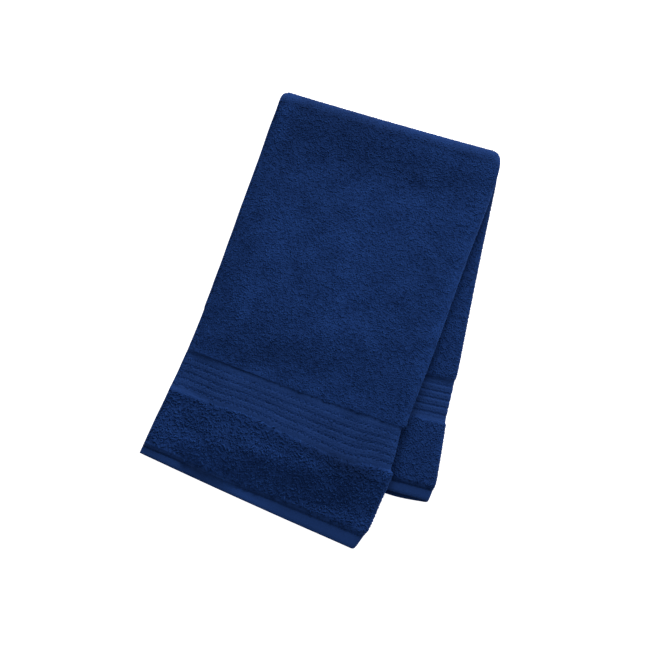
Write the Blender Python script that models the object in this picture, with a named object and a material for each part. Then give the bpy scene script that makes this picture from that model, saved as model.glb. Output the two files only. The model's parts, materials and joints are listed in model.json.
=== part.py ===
"""A hand towel of cotton terry cloth, folded in half along its length and then folded over across.

The cloth is one sheet, 457 x 762 mm. It is first folded lengthwise, which gives a strip of two layers whose
fold is on the right. The strip is then folded over at the top, a little askew, so the front flap leans to the
left, the back flap leans to the right, and a strip of the back flap shows beside the front one. The front flap
drops to the table where it reaches past the back flap.

Lengths are in millimetres and become metres when the mesh is made. The towel is laid out in plan with x to
the right and d down from the top fold; the finished mesh has +Y towards the top fold and +Z up, with the
origin on the table in the middle of its footprint.
"""

import math
from collections import namedtuple

import bpy
import numpy as np

MM = 0.001

# The flat cloth
CLOTH_WIDTH = 457.0
CLOTH_LENGTH = 762.0
HEM = 18.0  # turned hem at each end
END_PILE = 62.0  # pile between the hem and the woven border
BORDER = 45.0  # woven border with no pile
SIDE_HEM = 5.5  # turned hem along each long side

# Thicknesses
PILE_THICK = 4.4
HEM_THICK = 3.2
SIDE_HEM_THICK = 2.9
BORDER_THICK = 2.6
RIB_THICK = 3.1
GROOVE_THICK = 1.8
RIM_THICK = 1.5  # at the very edge of a hem

# The border's ribs
GROOVES = 5
RIB_PITCH = 7.3
GROOVE_WIDTH = 1.8

# How the layers lie
LAYER_GAP = 0.6
FLAP_GAP = 1.4  # between the two flaps
HALF_SPACING = (PILE_THICK + LAYER_GAP) / 2  # from the middle of a strip to the middle of either layer
STRIP_THICK = 2 * HALF_SPACING + PILE_THICK
BORDER_SINK = 0.55  # the layers lie this much closer to the strip's middle in the border
HEM_SINK = 0.6  # and this much closer in the end hems
SETTLE = 1.2  # where the cloth is thin, a strip on the table comes down by this much
STRIP_WIDTH = 230.0
ROLL_REACH = HALF_SPACING + PILE_THICK / 2  # from the lengthwise fold's axis to its outside

# The top fold
FOLD_SWELL = 4.2  # the thick cloth stands this much prouder at the top fold than on the flat
FOLD_SWELL_LENGTH = 30.0
BACK_MIDDLE = STRIP_THICK / 2
FRONT_MIDDLE = STRIP_THICK + FLAP_GAP + STRIP_THICK / 2
TURN_RADIUS = (FRONT_MIDDLE + FOLD_SWELL - BACK_MIDDLE) / 2
TURN_LENGTH = math.pi * TURN_RADIUS
TURN_AXIS_D = TURN_RADIUS + ROLL_REACH - 2.0
LEFT_CORNER_RADIUS = 7.0
RIGHT_CORNER_RADIUS = 12.0
CORNER_FADE = 15.0

# The lengthwise fold is a fuller roll on the front flap
ROLL_SWELL = 1.1
ROLL_SWELL_WIDTH = 13.0

# Where the front flap leaves the back flap and drops to the table
DROP_HEIGHT = STRIP_THICK + FLAP_GAP
DROP_AT_SIDE = 35.0  # length of the slope past the back flap's long side
DROP_AT_HEM = 39.0  # and past its hem
DROP_INSIDE_SIDE = 5.0  # the slope starts this far inside the long side
DROP_INSIDE_HEM = 12.0  # and this far inside the hem

# Layers that don't end together
FRONT_TUCK = 3.0  # the lower layer of the front flap stops short of the upper one
SIDE_TUCK = 2.5  # so does its long side
BACK_LIP = 4.5  # the lowest layer shows past the hem of the back flap, near its fold
BACK_LIP_AT = 30.0
BACK_LIP_WIDTH = 34.0
BORDER_PINCH = 2.5  # the front flap's fold is drawn in along the border

# Outline of each flap as it lies: at is the distance along the cloth, from the front hem's edge on the front
# flap and from the back hem's edge on the back flap. Each row is one line across the cloth.
Line = namedtuple("Line", "at left_x left_d right_x right_d bow")
FRONT_FLAT = 395.0
BACK_FLAT = CLOTH_LENGTH - FRONT_FLAT - TURN_LENGTH
FRONT_LINES = [
    Line(0.0, -154.2, 385.4, 79.8, 419.6, 0.9),
    Line(18.0, -152.2, 373.5, 86.3, 399.7, 1.0),
    Line(49.0, -147.7, 346.0, 90.9, 366.0, 1.5),
    Line(80.0, -142.8, 318.0, 94.8, 333.5, 2.5),
    Line(125.0, -135.7, 271.5, 94.4, 289.0, 2.0),
    Line(206.0, -127.8, 193.0, 101.3, 205.0, 1.0),
    Line(299.5, -120.8, 103.0, 107.9, 108.0, 0.0),
    Line(364.0, -116.5, 40.0, 113.6, 42.0, 0.0),
    Line(FRONT_FLAT, -115.2, TURN_AXIS_D - 0.5, 114.9, TURN_AXIS_D, 0.9),
]
BACK_LINES = [
    Line(0.0, -91.8, 368.0, 138.8, 353.3, -4.0),
    Line(18.0, -91.0, 351.5, 140.3, 337.5, -3.0),
    Line(49.0, -92.5, 321.0, 137.9, 309.0, -1.5),
    Line(80.0, -94.5, 288.0, 134.0, 274.5, 0.0),
    Line(125.0, -98.5, 242.0, 131.5, 229.0, 0.0),
    Line(220.0, -107.3, 130.0, 122.8, 118.0, 0.0),
    Line(300.0, -111.8, 57.0, 118.3, 52.5, 0.4),
    Line(BACK_FLAT, -114.4, TURN_AXIS_D - 0.5, 115.4, TURN_AXIS_D, 0.9),
]

# Soft ridges and, with a negative height, hollows in the front flap: middle, direction clockwise from the fold
# line, half length, half width and height. One hollow lies over the thin border of the back flap.
Ridge = namedtuple("Ridge", "x d angle half_length half_width height")
RIDGES = [
    Ridge(-32.0, 60.0, 173.0, 98.0, 28.0, -1.2),
    Ridge(16.0, 158.0, 0.0, 90.0, 22.0, 0.6),
    Ridge(-49.0, 197.0, 40.0, 80.0, 34.0, 0.7),
    Ridge(-10.0, 197.0, 80.0, 90.0, 22.0, 0.7),
    Ridge(-14.0, 223.0, 0.0, 88.0, 28.0, 1.2),
    Ridge(-40.0, 268.0, -3.3, 110.0, 21.0, -1.9),
    Ridge(-95.0, 300.0, 70.0, 58.0, 32.0, -0.9),
    Ridge(62.0, 334.0, 0.0, 55.0, 17.0, -0.9),
]

# The firm border and the soft pile shrink by different amounts, so their seam cockles: it swings up and down in
# plan and rises in a low roll
Swing = namedtuple("Swing", "across shift lift")
BORDER_SWINGS = [
    Swing(0.00, -0.8, 0.7),
    Swing(0.09, -1.5, 0.8),
    Swing(0.15, -5.0, 0.9),
    Swing(0.21, -5.4, 1.1),
    Swing(0.28, -3.2, 1.3),
    Swing(0.35, -1.2, 1.5),
    Swing(0.42, 1.2, 1.6),
    Swing(0.51, 2.6, 1.5),
    Swing(0.57, 5.0, 1.3),
    Swing(0.65, 6.2, 1.2),
    Swing(0.73, 5.7, 1.2),
    Swing(0.79, 4.0, 1.1),
    Swing(0.86, 4.2, 1.1),
    Swing(0.93, 4.2, 1.2),
    Swing(1.00, 2.5, 1.2),
]

# Where the mesh has its points: from the long side of each layer, and along the cloth
STATIONS = [0.0, 1.5, SIDE_HEM, 7.0, 20.0, 33.0, 47.0, 63.0, 82.0, 104.0, 128.0, 153.0, 178.0, 200.0, 217.0]
ROLL_STEPS = 6
TURN_STEPS = 8
END_PILE_STEPS = 5
FRONT_FIELD_STEPS = 9
NEAR_FOLD = [52.0, 32.0, 15.0]  # rows of the front flap this far before its fold
BACK_FIELD_STEPS = 7
PILE_STEP = 1.5  # the slope at the edge of the pile

NAVY = (0.012, 0.036, 0.135, 1.0)


def smoothstep(x):
    """0 below 0, 1 above 1, and a smooth rise between."""
    x = np.clip(x, 0.0, 1.0)
    return x * x * (3.0 - 2.0 * x)


def through(knots, values, at):
    """A smooth curve through the values at the knots, as cubic pieces whose slopes are those of the chords."""
    knots, values = np.asarray(knots, float), np.asarray(values, float)
    slopes = np.gradient(values, knots)
    i = np.clip(np.searchsorted(knots, at) - 1, 0, len(knots) - 2)
    step = knots[i + 1] - knots[i]
    t = (at - knots[i]) / step
    rise = values[i + 1] - values[i]
    return (
        values[i]
        + rise * t * t * (3 - 2 * t)
        + step * t * (1 - t) * (slopes[i] * (1 - t) - slopes[i + 1] * t)
    )


def end_profile():
    """The thickness of the cloth at distances from either end: hem, pile, ribbed border, pile."""
    border_start = HEM + END_PILE
    border_end = border_start + BORDER
    first_groove = border_start + (BORDER - (GROOVES - 1) * RIB_PITCH) / 2
    profile = [(0.0, RIM_THICK), (1.0, 2.7), (3.0, HEM_THICK)]
    profile += [(HEM - PILE_STEP / 2, HEM_THICK), (HEM + PILE_STEP / 2, PILE_THICK)]
    profile += [(border_start - PILE_STEP / 2, PILE_THICK), (border_start + PILE_STEP / 2, BORDER_THICK)]
    for number in range(GROOVES):
        middle = first_groove + number * RIB_PITCH
        profile.append((middle - GROOVE_WIDTH / 2, RIB_THICK if number else BORDER_THICK))
        profile.append((middle, GROOVE_THICK))
        profile.append((middle + GROOVE_WIDTH / 2, RIB_THICK if number < GROOVES - 1 else BORDER_THICK))
    profile += [(border_end - PILE_STEP / 2, BORDER_THICK), (border_end + PILE_STEP / 2, PILE_THICK)]
    return profile


END_PROFILE = end_profile()
END_AT = [at for at, _ in END_PROFILE]
END_THICK = [thick for _, thick in END_PROFILE]
SIDE_AT = [0.0, 1.5, SIDE_HEM, 7.0]
SIDE_THICK = [RIM_THICK, SIDE_HEM_THICK, SIDE_HEM_THICK, PILE_THICK]


def from_end(run):
    """Distance along the cloth from the nearer end."""
    return np.minimum(run, CLOTH_LENGTH - run)


def thickness(across, run):
    """Thickness of the cloth, the least of what its ends and its long sides give."""
    along = np.interp(from_end(run), END_AT, END_THICK)
    beside = np.interp((1.0 - across) * STRIP_WIDTH, SIDE_AT, SIDE_THICK)
    return np.minimum(along, beside)


def in_border(run):
    """1 in the woven border and 0 in the pile, with a short ramp at each side of the border."""
    q = from_end(run)
    start, end, ramp = HEM + END_PILE, HEM + END_PILE + BORDER, 5.0
    return smoothstep((q - start + ramp / 2) / ramp) * smoothstep((end + ramp / 2 - q) / ramp)


def half_spacing(run):
    """From the middle of the strip to the middle of either layer."""
    in_hem = smoothstep((HEM - from_end(run)) / 5.0)
    return HALF_SPACING - BORDER_SINK * in_border(run) - HEM_SINK * in_hem


def settled(run):
    """How far a strip that lies on the table comes down where the cloth is thin."""
    q = from_end(run)
    start, end, ramp = HEM + END_PILE + 2.0, HEM + END_PILE + BORDER - 2.0, 5.0
    in_middle = smoothstep((q - start + ramp / 2) / ramp) * smoothstep((end + ramp / 2 - q) / ramp)
    return SETTLE * (in_middle + smoothstep((HEM - q) / 5.0))


def flap_point(lines, at, across):
    """Plan position on a flap. across is 0 on the lengthwise fold's axis and 1 on the long side."""
    knots = [line.at for line in lines]
    left_x = through(knots, [line.left_x for line in lines], at)
    left_d = through(knots, [line.left_d for line in lines], at)
    right_x = through(knots, [line.right_x for line in lines], at) - ROLL_REACH
    right_d = through(knots, [line.right_d for line in lines], at)
    bow = through(knots, [line.bow for line in lines], at)
    x = right_x + (left_x - right_x) * across
    d = right_d + (left_d - right_d) * across + bow * 4 * across * (1 - across)
    return x, d


def swings(kind, across):
    """The shift or the lift of the border's seam, across the strip."""
    return through([swing.across for swing in BORDER_SWINGS], [getattr(swing, kind) for swing in BORDER_SWINGS], across)


def front_point(at, across):
    """Plan position on the front flap, with the border's lower edge moved up by its swing."""
    x, d = flap_point(FRONT_LINES, at, across)
    border_start = HEM + END_PILE
    above = np.clip((border_start + BORDER - at) / BORDER, 0.0, 1.0) ** 1.3
    below = smoothstep((at - 25.0) / (border_start - 25.0))
    return x, d - swings("shift", across) * np.where(at > border_start, above, below)


def border_roll(at, across):
    """Height of the low roll along the border's lower edge, narrow above it and wide below."""
    off = at - (HEM + END_PILE + 3.0)
    return swings("lift", across) * np.exp(-((off / np.where(off > 0, 9.0, 18.0)) ** 2))


def dropped(x, d):
    """0 where the front flap lies on the back flap and 1 where it lies on the table, with a slope between."""
    hem, fold = BACK_LINES[0], BACK_LINES[-1]
    side = np.array([hem.left_x - fold.left_x, hem.left_d - fold.left_d])
    side /= np.linalg.norm(side)
    past_side = (fold.left_x - x) * side[1] + (d - fold.left_d) * side[0]
    edge = np.array([hem.right_x - hem.left_x, hem.right_d - hem.left_d])
    edge /= np.linalg.norm(edge)
    past_hem = (d - hem.left_d) * edge[0] - (x - hem.left_x) * edge[1]
    beside = np.maximum(past_side + DROP_INSIDE_SIDE, 0.0) / DROP_AT_SIDE
    below = np.maximum(past_hem + DROP_INSIDE_HEM, 0.0) / DROP_AT_HEM
    share = np.hypot(beside, below)
    return 0.6 * np.clip(share, 0.0, 1.0) + 0.4 * smoothstep(share)


def ridge_height(x, d):
    """The sum of the soft ridges, each a bell that is longer than it is wide."""
    height = np.zeros_like(x)
    for ridge in RIDGES:
        turn = math.radians(ridge.angle)
        along = (x - ridge.x) * math.cos(turn) + (d - ridge.d) * math.sin(turn)
        beside = (d - ridge.d) * math.cos(turn) - (x - ridge.x) * math.sin(turn)
        height += ridge.height * np.exp(-((along / ridge.half_length) ** 2) - (beside / ridge.half_width) ** 2)
    return height


def strip_middle(across, run):
    """The middle surface of the two-layer strip: front flap, half turn over the top fold, back flap."""
    on_front = np.minimum(run, FRONT_FLAT)
    front_x, front_d = front_point(on_front, across)
    swell = FOLD_SWELL * np.exp(-(((FRONT_FLAT - on_front) / FOLD_SWELL_LENGTH) ** 2))
    before_fold = smoothstep((FRONT_FLAT - on_front) / 30.0)
    down = dropped(front_x, front_d) * before_fold
    front_z = FRONT_MIDDLE + swell - (DROP_HEIGHT + settled(on_front)) * down
    creases = ridge_height(front_x, front_d) * before_fold * (1.0 - down**2)
    front_z = front_z + creases + border_roll(on_front, across)

    to_end = np.minimum(CLOTH_LENGTH - run, BACK_FLAT)
    back_x, back_d = flap_point(BACK_LINES, to_end, across)

    share = np.clip((run - FRONT_FLAT) / TURN_LENGTH, 0.0, 1.0)
    over = np.pi * share
    turn_z = (FRONT_MIDDLE + FOLD_SWELL + BACK_MIDDLE) / 2 + TURN_RADIUS * np.cos(over)
    turn_x = front_x + (back_x - front_x) * share
    turn_d = front_d - TURN_RADIUS * np.sin(over)

    front, back = run <= FRONT_FLAT, run >= FRONT_FLAT + TURN_LENGTH
    x = np.where(front, front_x, np.where(back, back_x, turn_x))
    d = np.where(front, front_d, np.where(back, back_d, turn_d))
    z = np.where(front, front_z, np.where(back, BACK_MIDDLE - settled(run), turn_z))
    return np.stack([x, -d, z], axis=-1)


def unit(vectors):
    return vectors / np.linalg.norm(vectors, axis=-1, keepdims=True)


def strip_frame(across, run):
    """The strip's middle, its outward normal and the direction out of its lengthwise fold."""
    small, short = 1e-3, 0.05
    left = strip_middle(np.minimum(across + small, 1.0), run) - strip_middle(np.maximum(across - small, 0.0), run)
    along = strip_middle(across, np.minimum(run + short, CLOTH_LENGTH)) - strip_middle(
        across, np.maximum(run - short, 0.0)
    )
    normal = unit(np.cross(along, left))
    return strip_middle(across, run), normal, -unit(left)


def corner_pull(across, out, run):
    """How far a point near a top corner is drawn down, so that the corner is round in plan."""
    from_turn = np.abs(run - FRONT_FLAT - TURN_LENGTH / 2)
    fade = np.exp(-((np.maximum(from_turn - TURN_LENGTH / 2, 0.0) / CORNER_FADE) ** 2))
    from_left = (1.0 - across) * STRIP_WIDTH
    from_right = across * STRIP_WIDTH + ROLL_REACH - out
    pull = np.zeros_like(run)
    for distance, radius in ((from_left, LEFT_CORNER_RADIUS), (from_right, RIGHT_CORNER_RADIUS)):
        q = np.clip(1.0 - distance / radius, 0.0, 1.0)
        pull += radius * (1.0 - np.sqrt(1.0 - 0.98 * q * q))
    return pull * fade


def cloth(across, around, run, side):
    """A point of the cloth's surface.

    across is 0 on the lengthwise fold and 1 on the long side. around is the angle round the fold, 0 on the
    layer that is outside in the top fold and pi on the inner one. run is the distance along the cloth, and
    side is 1 on the outer face, -1 on the inner face and 0 in the middle.
    """
    middle, normal, outward = strip_frame(across, run)
    inner_layer = (1.0 - np.cos(around)) / 2
    spacing = half_spacing(run)
    on_front = 1.0 - smoothstep((run - FRONT_FLAT + 40.0) / 60.0)
    roll_swell = ROLL_SWELL * np.exp(-((across * STRIP_WIDTH / ROLL_SWELL_WIDTH) ** 2)) * on_front
    lift = np.stack([0 * run, 0 * run, roll_swell], axis=-1)
    spacing = spacing + roll_swell
    facing = np.cos(around)[..., None] * normal + np.sin(around)[..., None] * outward
    thick = thickness(across, run)
    point = middle + lift + (spacing + side * thick / 2)[..., None] * facing

    # the lower layer of the front flap stops short; the lowest layer of the back flap has a lip
    near_front_end = smoothstep(1.0 - run / (2 * HEM))
    near_back_end = smoothstep(1.0 - (CLOTH_LENGTH - run) / (2 * HEM))
    lip = BACK_LIP * np.exp(-(((across * STRIP_WIDTH - BACK_LIP_AT) / BACK_LIP_WIDTH) ** 2))
    point[..., 1] += FRONT_TUCK * inner_layer * near_front_end
    point[..., 1] -= lip * (1.0 - inner_layer) * near_back_end
    point[..., 0] += SIDE_TUCK * inner_layer * smoothstep((across - 0.8) / 0.2)

    # the border draws the front flap's fold in, and the top corners are round
    fold_side = np.exp(-((across * STRIP_WIDTH / 40.0) ** 2))
    on_front_flap = run < FRONT_FLAT
    point[..., 0] -= BORDER_PINCH * in_border(run) * fold_side * on_front_flap
    out = np.sin(around) * (spacing + side * thick / 2)
    point[..., 1] -= corner_pull(across, out, run)
    return point


def stations_across():
    """(across, around) pairs from the long side of the top layer, round the fold, to that of the low layer."""
    top = [(1.0 - at / STRIP_WIDTH, 0.0) for at in STATIONS]
    roll = [(0.0, math.pi * step / ROLL_STEPS) for step in range(ROLL_STEPS + 1)]
    low = [(1.0 - at / STRIP_WIDTH, math.pi) for at in reversed(STATIONS)]
    return np.array(top + roll + low)


def stations_along():
    """Distances along the cloth: the knots of its thickness, and enough rows between to show its shape."""
    pile_rows = np.linspace(HEM + PILE_STEP / 2, HEM + END_PILE - PILE_STEP / 2, END_PILE_STEPS + 1)
    end_rows = sorted(set(END_AT) | set(pile_rows[1:-1]))
    field_start = END_AT[-1]
    front = np.linspace(field_start, FRONT_FLAT - NEAR_FOLD[0], FRONT_FIELD_STEPS + 1)[1:]
    near_fold = [FRONT_FLAT - before for before in NEAR_FOLD[1:]] + [FRONT_FLAT]
    turn = FRONT_FLAT + TURN_LENGTH * np.arange(1, TURN_STEPS) / TURN_STEPS
    back = np.linspace(FRONT_FLAT + TURN_LENGTH, CLOTH_LENGTH - field_start, BACK_FIELD_STEPS + 1)[:-1]
    far_end = [CLOTH_LENGTH - at for at in reversed(end_rows)]
    return np.array([*end_rows, *front, *near_fold, *turn, *back, *far_end])


def towel_mesh():
    """Rings round the cloth's thickness, one for each row along it, joined into one closed skin."""
    across, around = stations_across().T
    run = stations_along()
    loop_across = np.concatenate([across, across[::-1]])
    loop_around = np.concatenate([around, around[::-1]])
    loop_side = np.concatenate([np.ones(len(across)), -np.ones(len(across))])
    shape = (len(run), len(loop_across))
    points = cloth(
        np.broadcast_to(loop_across, shape),
        np.broadcast_to(loop_around, shape),
        np.broadcast_to(run[:, None], shape),
        np.broadcast_to(loop_side, shape),
    )
    points[..., :2] -= (points[..., :2].min(axis=(0, 1)) + points[..., :2].max(axis=(0, 1))) / 2
    points[..., 2] -= points[..., 2].min()

    rows, ring = shape
    index = np.arange(rows * ring).reshape(shape)
    ahead = np.roll(index, -1, axis=1)
    a, b, c, d = index[:-1], ahead[:-1], ahead[1:], index[1:]
    # each quad is cut the same way in every layer, so that layers stay parallel
    towards_long_side = (np.roll(loop_across, -1) > loop_across)[None, :, None]
    first = np.where(towards_long_side, np.stack([a, b, d], axis=-1), np.stack([a, b, c], axis=-1))
    second = np.where(towards_long_side, np.stack([b, c, d], axis=-1), np.stack([a, c, d], axis=-1))
    faces = np.concatenate([first.reshape(-1, 3), second.reshape(-1, 3)]).tolist()
    half = ring // 2
    for row, turned in ((0, True), (rows - 1, False)):
        for k in range(half - 1):
            cap = [index[row, k], index[row, k + 1], index[row, ring - 2 - k], index[row, ring - 1 - k]]
            faces.append([int(i) for i in (reversed(cap) if turned else cap)])

    mesh = bpy.data.meshes.new("towel")
    mesh.from_pydata((points.reshape(-1, 3) * MM).tolist(), [], faces)
    mesh.validate()
    mesh.shade_smooth()
    mesh.set_sharp_from_angle(angle=math.radians(50))
    return mesh


def terry_material():
    """Dark blue cotton."""
    material = bpy.data.materials.new("navy_terry")
    material.use_nodes = True
    shader = material.node_tree.nodes["Principled BSDF"]
    shader.inputs["Base Color"].default_value = NAVY
    shader.inputs["Roughness"].default_value = 0.95
    shader.inputs["Metallic"].default_value = 0.0
    return material


def main():
    for old in list(bpy.data.objects):
        bpy.data.objects.remove(old)
    towel = bpy.data.objects.new("towel", towel_mesh())
    towel.data.materials.append(terry_material())
    bpy.context.scene.collection.objects.link(towel)


main()
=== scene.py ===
# %% [markdown]
# # A folded hand towel
#
# This lesson dresses a plain solid of a folded cotton towel. The solid holds the true folds, so it stays the
# measure of everything. Over it go the cloth itself with its woven borders and hems, the loops of its pile, and
# the sewing. The towel's lengths are in millimetres and become metres when a mesh is made. The floor, the light
# and the camera are placed in metres.

# %% Load the solid and keep its box
import json
import math
from collections import namedtuple

import bpy
import numpy as np
from mathutils import Matrix, Vector

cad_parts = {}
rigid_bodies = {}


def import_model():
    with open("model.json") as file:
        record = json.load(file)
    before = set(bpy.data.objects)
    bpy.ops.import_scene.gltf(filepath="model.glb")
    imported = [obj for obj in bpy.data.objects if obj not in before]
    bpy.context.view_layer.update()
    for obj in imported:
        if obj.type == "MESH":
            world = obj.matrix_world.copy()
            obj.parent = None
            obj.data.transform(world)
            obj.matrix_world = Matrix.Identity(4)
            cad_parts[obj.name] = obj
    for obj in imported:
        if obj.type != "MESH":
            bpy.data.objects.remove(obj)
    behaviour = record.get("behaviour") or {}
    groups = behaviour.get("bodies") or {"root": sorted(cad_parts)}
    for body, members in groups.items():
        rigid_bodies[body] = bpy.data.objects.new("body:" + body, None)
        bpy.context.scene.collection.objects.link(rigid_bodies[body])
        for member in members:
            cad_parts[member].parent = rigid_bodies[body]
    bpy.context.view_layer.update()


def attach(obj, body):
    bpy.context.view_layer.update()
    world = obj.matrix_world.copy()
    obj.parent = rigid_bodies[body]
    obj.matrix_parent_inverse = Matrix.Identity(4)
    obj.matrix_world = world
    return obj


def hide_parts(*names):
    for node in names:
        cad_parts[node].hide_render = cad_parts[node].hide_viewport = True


for old in list(bpy.data.objects):
    bpy.data.objects.remove(old)
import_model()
MM = 0.001

# %% [markdown]
# ## The cloth's own sizes
#
# A terry towel is woven in zones. From each end it has a turned hem, a stretch of looped pile, a flat woven
# border with ribs, and then the long looped field. The pile stands on both faces, so the looped zones are the
# thick ones.

# %% Sizes of the flat cloth
CLOTH_WIDTH = 457.0
CLOTH_LENGTH = 762.0
HEM = 18.0
END_PILE = 62.0
BORDER = 45.0
SIDE_HEM = 5.5

PILE_THICK = 4.4
HEM_THICK = 3.2
SIDE_HEM_THICK = 2.9
BORDER_THICK = 2.6
RIB_THICK = 3.1
GROOVE_THICK = 1.8
RIM_THICK = 1.5
GROOVES = 5
RIB_PITCH = 7.3
GROOVE_WIDTH = 1.8
BORDER_START = HEM + END_PILE
BORDER_END = BORDER_START + BORDER
FIRST_GROOVE = BORDER_START + (BORDER - (GROOVES - 1) * RIB_PITCH) / 2

# %% Sizes of the fold
LAYER_GAP = 0.6
FLAP_GAP = 1.4
HALF_SPACING = (PILE_THICK + LAYER_GAP) / 2
STRIP_THICK = 2 * HALF_SPACING + PILE_THICK
BORDER_SINK = 0.55
HEM_SINK = 0.6
SETTLE = 1.2
STRIP_WIDTH = 230.0
ROLL_REACH = HALF_SPACING + PILE_THICK / 2
FOLD_SWELL = 4.2
FOLD_SWELL_LENGTH = 30.0
BACK_MIDDLE = STRIP_THICK / 2
FRONT_MIDDLE = STRIP_THICK + FLAP_GAP + STRIP_THICK / 2
TURN_RADIUS = (FRONT_MIDDLE + FOLD_SWELL - BACK_MIDDLE) / 2
TURN_LENGTH = math.pi * TURN_RADIUS
TURN_AXIS_D = TURN_RADIUS + ROLL_REACH - 2.0
LEFT_CORNER_RADIUS, RIGHT_CORNER_RADIUS = 7.0, 12.0
CORNER_FADE = 15.0
ROLL_SWELL = 1.1
ROLL_SWELL_WIDTH = 13.0
DROP_HEIGHT = STRIP_THICK + FLAP_GAP
DROP_AT_SIDE = 35.0
DROP_AT_HEM = 39.0
DROP_INSIDE_SIDE = 5.0
DROP_INSIDE_HEM = 12.0
FRONT_TUCK = 3.0
SIDE_TUCK = 2.5
BACK_LIP = 4.5
BACK_LIP_AT = 30.0
BACK_LIP_WIDTH = 34.0
BORDER_PINCH = 2.5
BORDER_PINCH_WIDTH = 40.0
FRONT_FLAT = 395.0
BACK_FLAT = CLOTH_LENGTH - FRONT_FLAT - TURN_LENGTH
print(f"a strip is {STRIP_THICK:.1f} mm thick, and the top fold turns on a radius of {TURN_RADIUS:.1f} mm")

# %% [markdown]
# ## Where each flap lies
#
# The folded strip is laid out by a few straight lines drawn across it. Each row of the tables gives the two ends
# of one such line, in plan, and how far its middle bows. A smooth curve through the rows gives every line
# between them.

# %% Lines across the front and the back flap
Line = namedtuple("Line", "at left_x left_d right_x right_d bow")
FRONT_LINES = [
    (0.0, -154.2, 385.4, 79.8, 419.6, 0.9),
    (18.0, -152.2, 373.5, 86.3, 399.7, 1.0),
    (49.0, -147.7, 346.0, 90.9, 366.0, 1.5),
    (80.0, -142.8, 318.0, 94.8, 333.5, 2.5),
    (125.0, -135.7, 271.5, 94.4, 289.0, 2.0),
    (206.0, -127.8, 193.0, 101.3, 205.0, 1.0),
    (299.5, -120.8, 103.0, 107.9, 108.0, 0.0),
    (364.0, -116.5, 40.0, 113.6, 42.0, 0.0),
    (FRONT_FLAT, -115.2, TURN_AXIS_D - 0.5, 114.9, TURN_AXIS_D, 0.9),
]
BACK_LINES = [
    (0.0, -91.8, 368.0, 138.8, 353.3, -4.0),
    (18.0, -91.0, 351.5, 140.3, 337.5, -3.0),
    (49.0, -92.5, 321.0, 137.9, 309.0, -1.5),
    (80.0, -94.5, 288.0, 134.0, 274.5, 0.0),
    (125.0, -98.5, 242.0, 131.5, 229.0, 0.0),
    (220.0, -107.3, 130.0, 122.8, 118.0, 0.0),
    (300.0, -111.8, 57.0, 118.3, 52.5, 0.4),
    (BACK_FLAT, -114.4, TURN_AXIS_D - 0.5, 115.4, TURN_AXIS_D, 0.9),
]
FRONT_LINES, BACK_LINES = ([Line(*row) for row in table] for table in (FRONT_LINES, BACK_LINES))


def smoothstep(x):
    """0 below 0, 1 above 1, and three times its square less twice its cube between."""
    x = np.clip(x, 0.0, 1.0)
    return x * x * (3.0 - 2.0 * x)


def bell(x, width):
    """1 where x is 0, and e to the minus square of x over the width elsewhere."""
    return np.exp(-((x / width) ** 2))


def through(knots, values, at):
    """A cubic piece between each two knots, with the slopes of the chords on either side at its ends."""
    knots, values = np.asarray(knots, float), np.asarray(values, float)
    slopes = np.gradient(values, knots)
    i = np.clip(np.searchsorted(knots, at) - 1, 0, len(knots) - 2)
    step = knots[i + 1] - knots[i]
    t = (at - knots[i]) / step
    rise = values[i + 1] - values[i]
    return (
        values[i]
        + rise * t * t * (3 - 2 * t)
        + step * t * (1 - t) * (slopes[i] * (1 - t) - slopes[i + 1] * t)
    )


def flap_point(lines, at, across):
    """Plan position on a flap: the straight line between the two ends, plus the bow, a parabola of across."""
    knots, *columns = zip(*lines)
    left_x, left_d, right_x, right_d, bow = (through(knots, column, at) for column in columns)
    right_x = right_x - ROLL_REACH
    x = right_x + (left_x - right_x) * across
    d = right_d + (left_d - right_d) * across + bow * 4 * across * (1 - across)
    return x, d


# %% [markdown]
# ## How thick the cloth is
#
# Thickness depends on the distance from the nearer end and from the long side. The hems are turned and pressed,
# the pile is full, and the border is a firm weave with ribs and narrow grooves.

# %% Thickness of the cloth


def from_end(run):
    """Distance along the cloth from the nearer end."""
    return np.minimum(run, CLOTH_LENGTH - run)


def between(x, low, high, ramp):
    """1 between low and high and 0 outside, with a smooth ramp centred on each limit."""
    return smoothstep((x - low) / ramp + 0.5) * smoothstep((high - x) / ramp + 0.5)


def border_thickness(q):
    """The plain weave, plus a flat rib over the grooved part, less a bell at each groove."""
    last_groove = FIRST_GROOVE + (GROOVES - 1) * RIB_PITCH
    ribbed = between(q, FIRST_GROOVE, last_groove, GROOVE_WIDTH)
    groove_number = np.clip(np.round((q - FIRST_GROOVE) / RIB_PITCH), 0, GROOVES - 1)
    beside = q - FIRST_GROOVE - groove_number * RIB_PITCH
    thick = BORDER_THICK + (RIB_THICK - BORDER_THICK) * ribbed
    return thick - (thick - GROOVE_THICK) * bell(beside, 0.62 * GROOVE_WIDTH)


def rim(distance, width, thick):
    """From the rim's own thickness up to the full one, as the square root of the distance from the edge."""
    return RIM_THICK + (thick - RIM_THICK) * np.sqrt(np.clip(distance / width, 0.0, 1.0))


def thickness(across, run):
    """The lesser of what the distances from the end and from the long side give."""
    q = from_end(run)
    hem = rim(q, 3.0, HEM_THICK)
    pile = smoothstep((q - HEM) / 1.5 + 0.5)
    border = between(q, BORDER_START, BORDER_END, 1.5)
    along = (hem + (PILE_THICK - hem) * pile) * (1 - border) + border_thickness(q) * border
    from_side = (1.0 - across) * STRIP_WIDTH
    side = rim(from_side, 1.5, SIDE_HEM_THICK)
    side = side + (PILE_THICK - side) * smoothstep((from_side - SIDE_HEM) / 1.5)
    return np.minimum(along, side)


def in_border(run):
    """1 in the woven border and 0 in the pile."""
    return between(from_end(run), BORDER_START, BORDER_END, 5.0)


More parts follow.
